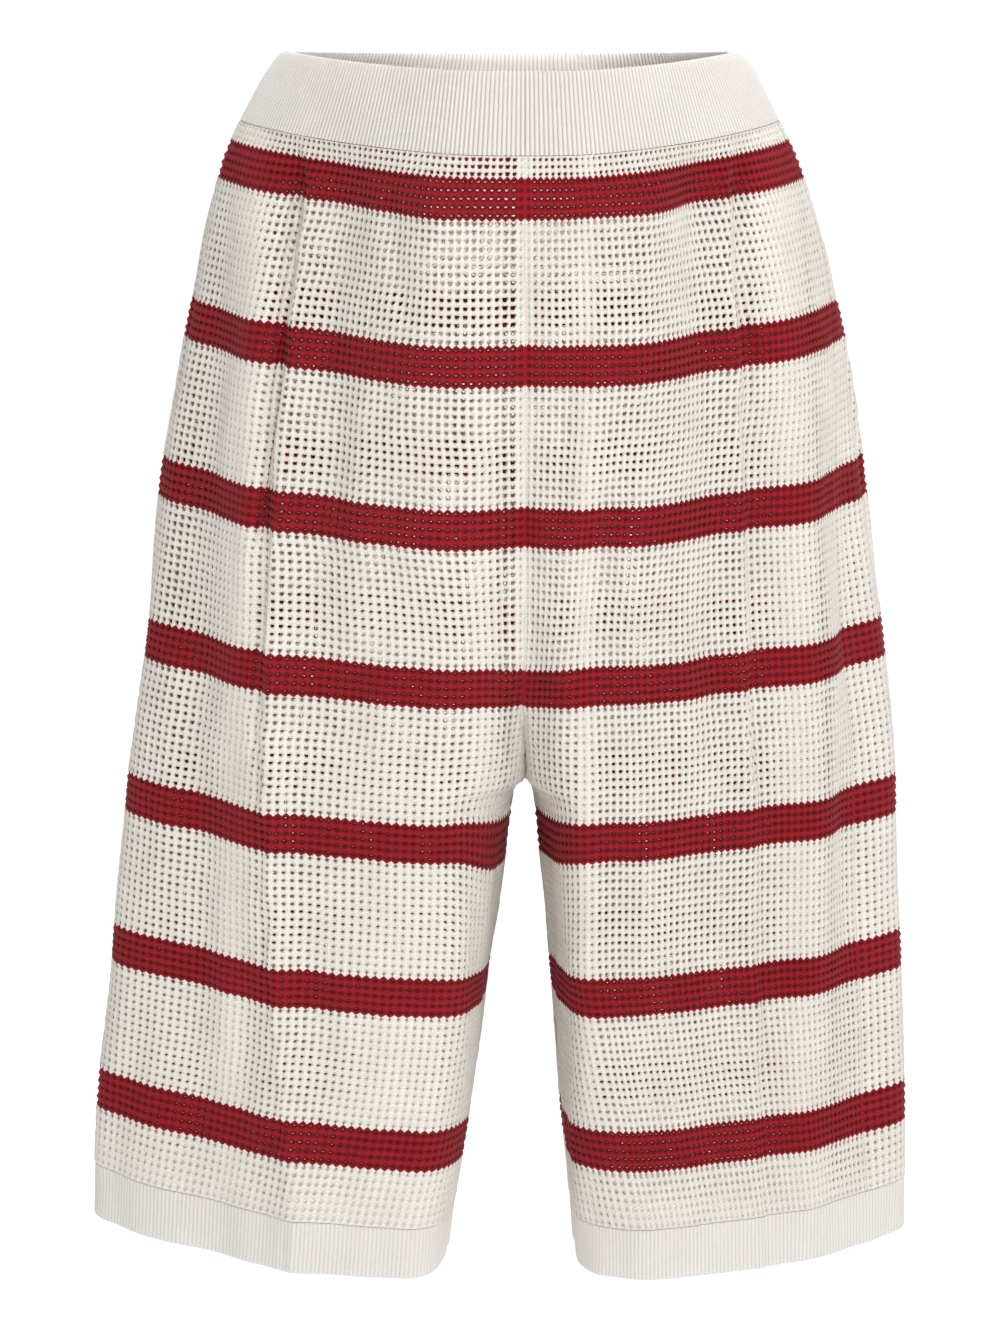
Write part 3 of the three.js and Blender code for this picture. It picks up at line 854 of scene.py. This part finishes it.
def knit_panel(name, half, face, materials, seed):
    """Open knit: every cell has knots at its corners, wales at its sides, bridges over it and a hole"""
    rng = np.random.default_rng(seed)
    lines = row_depth(np.arange(KNIT_ROWS + 1))[:, None]
    middles = (lines[1:] + lines[:-1]) / 2
    pitch = lines[1:] - lines[:-1]
    columns = np.arange(half.innermost_column(face), COLUMN_PLANS[face]["outer"] + 1)[None, :]
    shape = (KNIT_ROWS, columns.size - 1)
    red_rows = is_red(np.arange(KNIT_ROWS))
    red_lines = np.concatenate([[False], red_rows[1:] & red_rows[:-1], [False]])
    starts_red = np.concatenate([[0.0], np.diff(red_rows.astype(float)), [0.0]])[:, None]
    teeth = STRIPE_TEETH * starts_red * np.mean(pitch)

    points = KnitPoints(half, face, rng)
    knot_reach = half.column_reach(face, lines, columns)
    wale_reach = half.column_reach(face, middles, columns)
    bridge_reach = (knot_reach[:, 1:] + knot_reach[:, :-1]) / 2
    knot = points.add("knot", lines + teeth + 0 * knot_reach, knot_reach, red_lines)
    wale = points.add("wale", middles + 0 * wale_reach, wale_reach, red_rows)
    bridge = points.add("bridge", lines - teeth + 0 * bridge_reach, bridge_reach, red_lines)

    size = 1 + COLUMN_UNEVENNESS * slow_noise(rng, *shape, *COLUMN_RUN)
    size += HOLE_UNEVENNESS * rng.uniform(-1, 1, shape)
    centre = half.way(face, middles, (wale_reach[:, 1:] + wale_reach[:, :-1]) / 2)
    size *= hole_size(half, face, middles, half.place(middles, centre, 0.0)[..., 0])
    slant = SLANT * slow_noise(rng, *shape, *SLANT_RUN)

    def hole_ring(part):
        """The four corners of every hole, at its rim or at its foot"""
        ring = []
        for aside, below in HOLE_CORNERS:
            nudge_across, nudge_down = rng.uniform(-HOLE_NUDGE, HOLE_NUDGE, (2,) + shape)
            taper = HOLE_LOW_WIDTH if below > 0 else HOLE_TOP_WIDTH
            half_width = by_colour(CELLS, "hole_x", red_rows) * size * taper
            half_height = by_colour(CELLS, "hole_y", red_rows) * size
            across = 0.5 + aside * half_width + slant * below + nudge_across
            depth = middles + (below * half_height + nudge_down) * pitch
            left = half.column_reach(face, depth, columns[:, :-1])
            right = half.column_reach(face, depth, columns[:, 1:])
            ring.append(points.add(part, depth, mixed(left, right, across), red_rows))
        return ring

    # The holes' walls are painted in shade, from the rims' half shade down to the feet in full shade
    top = hole_ring("rim")
    feet = hole_ring("foot")
    kept = np.diff(wale_reach, axis=1) > NARROWEST_CELL
    mirrored = (half.side == "right") != (face == "back")
    faces = []
    for corners, red in cell_polygons(knot, wale, bridge, top, feet, red_rows):
        polygons = np.stack([corner[kept] for corner in corners], axis=1)
        numbers = np.broadcast_to(red[:, None], shape)[kept]
        faces.append((polygons if mirrored else polygons[:, ::-1], numbers))
    return cloth_piece(
        name, np.concatenate(points.parts), faces, materials,
        np.concatenate(points.shades), np.concatenate(points.stitches))


def loop_place(halves, depth, share, outward):
    """Places on a closed run of cloth: one leg, or both halves of the waist joined at the middle"""
    totals = [half.mark("total", depth) for half in halves]
    way = share * sum(totals)
    first = halves[0].place(depth, np.minimum(way, totals[0]), outward)
    if len(halves) == 1:
        return first
    second = halves[1].place(depth, np.clip(totals[0] + totals[1] - way, 0, totals[1]), outward)
    return np.where((way <= totals[0])[..., None], first, second)


def folded_profile(open_depth, fold_depth, straight_steps, fold_steps):
    """The cloth's line in depth and outward place, doubled over its fold, with its own normals"""
    radius = FOLDED_WALL / 2
    up = math.copysign(1, open_depth - fold_depth)
    straight = np.linspace(open_depth, fold_depth + up * radius, straight_steps)
    turn = np.linspace(0, math.pi, fold_steps + 2)[1:-1]
    depth = np.concatenate([straight, fold_depth + up * radius * (1 - np.sin(turn)), straight[::-1]])
    outward = np.concatenate([0 * straight, radius * (np.cos(turn) - 1), 0 * straight - FOLDED_WALL])
    normal_depth = np.concatenate([0 * straight, -up * np.sin(turn), 0 * straight])
    normal_out = np.concatenate([1 + 0 * straight, np.cos(turn), -1 + 0 * straight])
    return depth, outward, normal_depth, normal_out


def ribbed_tube(name, halves, profile, ribs, share_shown, materials, seed, fading):
    """A folded band with ribs all round. The share shown is the part of the ribs' height, and of the shade
    painted into their grooves, that is there, and the fading is how much of that height goes in places."""
    rng = np.random.default_rng(seed)
    depth, outward, normal_depth, normal_out = (values[:, None] for values in profile)
    across = len(RIB_PROFILE)
    count = ribs * across
    wander = slow_noise(rng, 1, count, 1, across * WANDER_RIBS)[0] * RIB_WANDER / across
    share = ((np.arange(count) / count + wander / ribs) % 1.0)[None, :]
    fade = 0.5 + 0.5 * slow_noise(rng, len(depth), count, FADING_RINGS, across * FADING_RIBS)
    strength = 1 - fading * fade
    height = np.tile(RIB_PROFILE, ribs)[None, :] * strength * share_shown
    points = loop_place(
        halves, depth + normal_depth * height, share + 0 * height, outward + normal_out * height)
    rings = len(depth)
    index = np.arange(rings * count).reshape(rings, count)
    after = np.roll(index, -1, axis=1)
    quads = np.stack([index[:-1], index[1:], after[1:], after[:-1]], axis=-1).reshape(-1, 4)
    towards_fold = profile[0][0] > profile[0][1]
    if towards_fold != (halves[0].side == "right"):
        quads = quads[:, ::-1]
    # Shade painted into the ribs' grooves and lighter on their crests, weaker where less of their height
    # shows
    lowest, highest = min(RIB_PROFILE), max(RIB_PROFILE)
    painted_shade = np.tile(np.array(RIB_PROFILE) - lowest, ribs) / (highest - lowest)
    painted_shade = np.tile(mixed(1.0, painted_shade, share_shown), rings)
    faces = [(quads, np.zeros(len(quads)))]
    column = np.tile(np.arange(count) / across - HALF_COLUMN, rings)
    along = running_lengths(np.stack(profile[:2], axis=1))
    course = np.repeat(along / RIB_COURSE, count)
    stitches = np.stack([column, course], axis=1)
    return cloth_piece(name, points.reshape(-1, 3), faces, materials, painted_shade, stitches)


def seam_strip(name, top_row, bottom_row, place_across, materials):
    """A narrow strip that joins two panels along their seam, in the stripes' colours"""
    steps = np.arange(top_row * STRIP_STEPS_PER_ROW, bottom_row * STRIP_STEPS_PER_ROW + 1)
    rows = steps / STRIP_STEPS_PER_ROW
    depth = row_depth(rows)
    points = np.stack([
        place_across(depth, across, deep + STRIP_WAVE * np.cos(math.pi * steps))
        for across, deep in zip(STRIP_ACROSS, STRIP_DEEP)
    ], axis=1)
    lines, across = points.shape[:2]
    index = np.arange(lines * across).reshape(lines, across)
    quads = np.stack([index[:-1, :-1], index[:-1, 1:], index[1:, 1:], index[1:, :-1]], axis=-1)
    red = is_red(np.floor(rows[:-1]))
    faces = [(quads.reshape(-1, 4), np.repeat(red, across - 1))]
    column = np.tile(np.linspace(-HALF_COLUMN, HALF_COLUMN, across), lines)
    stitches = np.stack([column, np.repeat(rows, across)], axis=1)
    # The whole strip is painted in that shade
    painted_shade = np.full(lines * across, STRIP_SHADE)
    piece = cloth_piece(name, points.reshape(-1, 3), faces, materials, painted_shade, stitches)
    return piece


class Graph:
    """Shader nodes of one material or world"""

    def __init__(self, tree):
        self.nodes = tree.nodes
        self.links = tree.links

    def fill(self, socket, term):
        """Joins a socket to another node's output, or sets it to a plain value"""
        if isinstance(term, bpy.types.NodeSocket):
            self.links.new(term, socket)
        else:
            socket.default_value = term

    def add(self, kind, terms=(), **settings):
        """Adds a node with its settings and with a term for each socket named, and gives its outputs"""
        node = self.nodes.new(f"ShaderNode{kind}")
        for name, value in settings.items():
            setattr(node, name, value)
        for socket, term in dict(terms).items():
            self.fill(node.inputs[socket], term)
        return node.outputs

    def maths(self, operation, *terms):
        return self.add("Math", enumerate(terms), operation=operation)["Value"]

    def ranged(self, value, limits, clamp=False):
        terms = {"Value": value, **dict(zip(RANGE_SOCKETS, limits))}
        return self.add("MapRange", terms, clamp=clamp)["Result"]

    def noise(self, place, scale, detail):
        return self.add("TexNoise", {"Vector": place, "Scale": scale, "Detail": detail})["Fac"]


def new_material(name, surface):
    """A material whose shader has some of its own sockets set"""
    material = bpy.data.materials.new(name)
    material.use_nodes = True
    shader = material.node_tree.nodes["Principled BSDF"]
    for socket, value in surface.items():
        shader.inputs[socket].default_value = value
    return material, shader


def fabric(name, light, dark, waves, bump):
    """Knitted yarn: mottled colour, with shade painted darker between the stitches, fibres and slanting
    yarn legs
    """
    material, shader = new_material(name, YARN_SURFACE)
    graph = Graph(material.node_tree)
    place = graph.add("TexCoord")["Object"]
    fibres = graph.noise(place, *FIBRES)
    mottling = graph.noise(place, *MOTTLING)
    stitch = graph.add("Attribute", attribute_name="stitch")["Vector"]
    across, down, _ = graph.add("SeparateXYZ", {"Vector": stitch})
    from_wale = graph.maths("PINGPONG", across, HALF_COLUMN)
    lean = graph.ranged(from_wale, (0, HALF_COLUMN, 0, -YARN_LEAN * 2 * math.pi))
    turn = graph.ranged(down, (0, 1, 0, waves * 2 * math.pi))
    phase = graph.maths("ADD", turn, lean)
    phase = graph.maths("ADD", phase, graph.ranged(fibres, (0, 1, 0, FIBRE_PHASE)))
    legs = graph.maths("SINE", phase)
    # Shade painted from the points' attribute, darker in the knit's grooves and holes, with fibres,
    # mottling and legs added to it
    shade = graph.ranged(graph.add("Attribute", attribute_name="painted_shade")["Fac"], RELIEF_TO_SHADE)
    for value, limits in (
            (fibres, FIBRES_TO_SHADE), (mottling, MOTTLING_TO_SHADE), (legs, LEGS_TO_SHADE)):
        shade = graph.maths("ADD", shade, graph.ranged(value, limits))
    ends = {"A": (*dark, 1), "B": (*light, 1)}
    colour = graph.add("Mix", {"Factor": shade, **ends}, data_type="RGBA", clamp_factor=True)["Result"]
    surface = graph.maths("ADD", graph.ranged(fibres, FIBRES_TO_BUMP), graph.ranged(legs, LEGS_TO_BUMP))
    heights = {"Strength": BUMP_STRENGTH, "Distance": bump, "Height": surface}
    graph.fill(shader.inputs["Base Color"], colour)
    graph.fill(shader.inputs["Normal"], graph.add("Bump", heights)["Normal"])
    return material


def set_camera():
    data = bpy.data.cameras.new("photo_camera")
    data.sensor_width = SENSOR
    data.lens = LENS
    camera = placed("photo_camera", data)
    camera.location = EYE
    camera.rotation_euler = (math.radians(90 - DOWNWARD_TILT), 0, 0)
    bpy.context.scene.camera = camera


def area_light(name, location, target, size, power, spread):
    data = bpy.data.lights.new(name, "AREA")
    data.shape = "DISK"
    data.size = size
    data.energy = power
    data.spread = math.radians(spread)
    light = placed(name, data)
    light.location = location
    light.visible_camera = False
    away = np.array(location) - np.array(target)
    tilt = math.acos(away[2] / np.linalg.norm(away))
    light.rotation_euler = (tilt, 0, math.atan2(away[0], -away[1]))


def set_air():
    """The studio's air, brighter on one side and white all round near the horizon"""
    world = bpy.data.worlds.new("studio")
    world.use_nodes = True
    graph = Graph(world.node_tree)
    background = graph.nodes["Background"]
    background.inputs["Color"].default_value = (1, 1, 1, 1)
    direction = graph.add("TexCoord")["Generated"]
    x, y, z = graph.add("SeparateXYZ", {"Vector": direction})
    lean = graph.maths("MULTIPLY_ADD", x, SKY_LEAN, y)
    sky = graph.ranged(lean, (*SKY_RANGE, FRONT_SKY, BACK_SKY), clamp=True)
    horizon = graph.ranged(z, (WHITE_UP_TO, WHITE_ENDS, 1, 0), clamp=True)
    graph.fill(background.inputs["Strength"], graph.maths("MAXIMUM", horizon, sky))
    bpy.context.scene.world = world


def set_floor():
    mesh = bpy.data.meshes.new("floor")
    reach = FLOOR_REACH
    corners = [(-reach, -reach), (reach, -reach), (reach, reach), (-reach, reach)]
    mesh.from_pydata([(x, y, FLOOR) for x, y in corners], [], [(0, 1, 2, 3)])
    material, _ = new_material("pale_floor", FLOOR_SURFACE)
    mesh.materials.append(material)
    placed("floor", mesh)


def cut_size(half, face):
    """The panel's cut: its largest width and length, and its area, in metres"""
    depth = np.linspace(BAND_BOTTOM, CUFF_TOP, CUT_LINES)
    share = np.linspace(0, 1, CUT_POINTS)[None, :]
    reach = half.face_width(face, depth)[:, None] * share
    grid = half.place(depth[:, None], half.way(face, depth[:, None], reach), 0.0)
    across = np.linalg.norm(np.diff(grid, axis=1), axis=2).sum(axis=1)
    down = np.linalg.norm(np.diff(grid, axis=0), axis=2).sum(axis=0)
    side_a = grid[1:, 1:] - grid[:-1, :-1]
    side_b = grid[1:, :-1] - grid[:-1, 1:]
    area = np.linalg.norm(np.cross(side_a, side_b), axis=2).sum() / 2
    return across.max() * MM, down.max() * MM, area * MM * MM


def loop_length(run, depth):
    return sum(half.mark("total", depth) for half in run) * MM


def on_side_seam(half, depth, across, outward):
    return half.place(depth, half.mark("seam", depth) + across, outward)


def on_inseam(half, depth, across, outward):
    way = across if across > 0 else half.mark("total", depth) + across
    return half.place(depth, way, outward)


def on_middle_seam(halves, face, depth, across, outward):
    half = halves["left" if across > 0 else "right"]
    return half.place(depth, half.way(face, depth, abs(across)), outward)


# The studio
bpy.context.scene.view_settings.view_transform = "Standard"
set_camera()
set_air()
set_floor()
for light in LIGHTS:
    area_light(**light)

# The fabrics, and the two halves of the cloth
cream_knit, red_knit, cream_rib = [fabric(**plan) for plan in FABRICS]
knits = [cream_knit, red_knit]
halves = {side: Half(side) for side in SIDES}

# The four knit panels, with the strips under their seams
crotch_row = math.floor(row_at(CROTCH))
middle_seams = {
    face: seam_strip(f"{face}_seam", 0, crotch_row, partial(on_middle_seam, halves, face), knits)
    for face in COLUMN_PLANS
}
for number, (side, half) in enumerate(halves.items()):
    side_seam = seam_strip(f"side_seam_{side}", 0, KNIT_ROWS, partial(on_side_seam, half), knits)
    inseam = seam_strip(f"inseam_{side}", crotch_row, KNIT_ROWS, partial(on_inseam, half), knits)
    for face in COLUMN_PLANS:
        name = f"panel_{face}_{side}"
        piece = knit_panel(f"{name}_knit", half, face, knits, PANEL_SEED + number)
        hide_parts(name)
        width, length, area = cut_size(half, face)

# The waistband, and a cuff at each hem
both = [halves["left"], halves["right"]]
band_profile = folded_profile(BAND_BOTTOM - SEAM_GAP / 2, 0, BAND_STEPS, FOLD_STEPS)
band = ribbed_tube(
    "waistband_rib", both, band_profile, BAND_RIBS, BAND_RELIEF, [cream_rib], BAND_SEED, BAND_FADING)
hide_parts("waistband")
loop_length(both, BAND_BOTTOM)

for number, (side, half) in enumerate(halves.items()):
    profile = folded_profile(CUFF_TOP + SEAM_GAP / 2, HEM, CUFF_STEPS, FOLD_STEPS)
    cuff = ribbed_tube(
        f"cuff_{side}_rib", [half], profile, CUFF_RIBS, CUFF_RELIEF, [cream_rib],
        CUFF_SEED + number, CUFF_FADING)
    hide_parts(f"cuff_{side}")
    loop_length([half], CUFF_TOP)
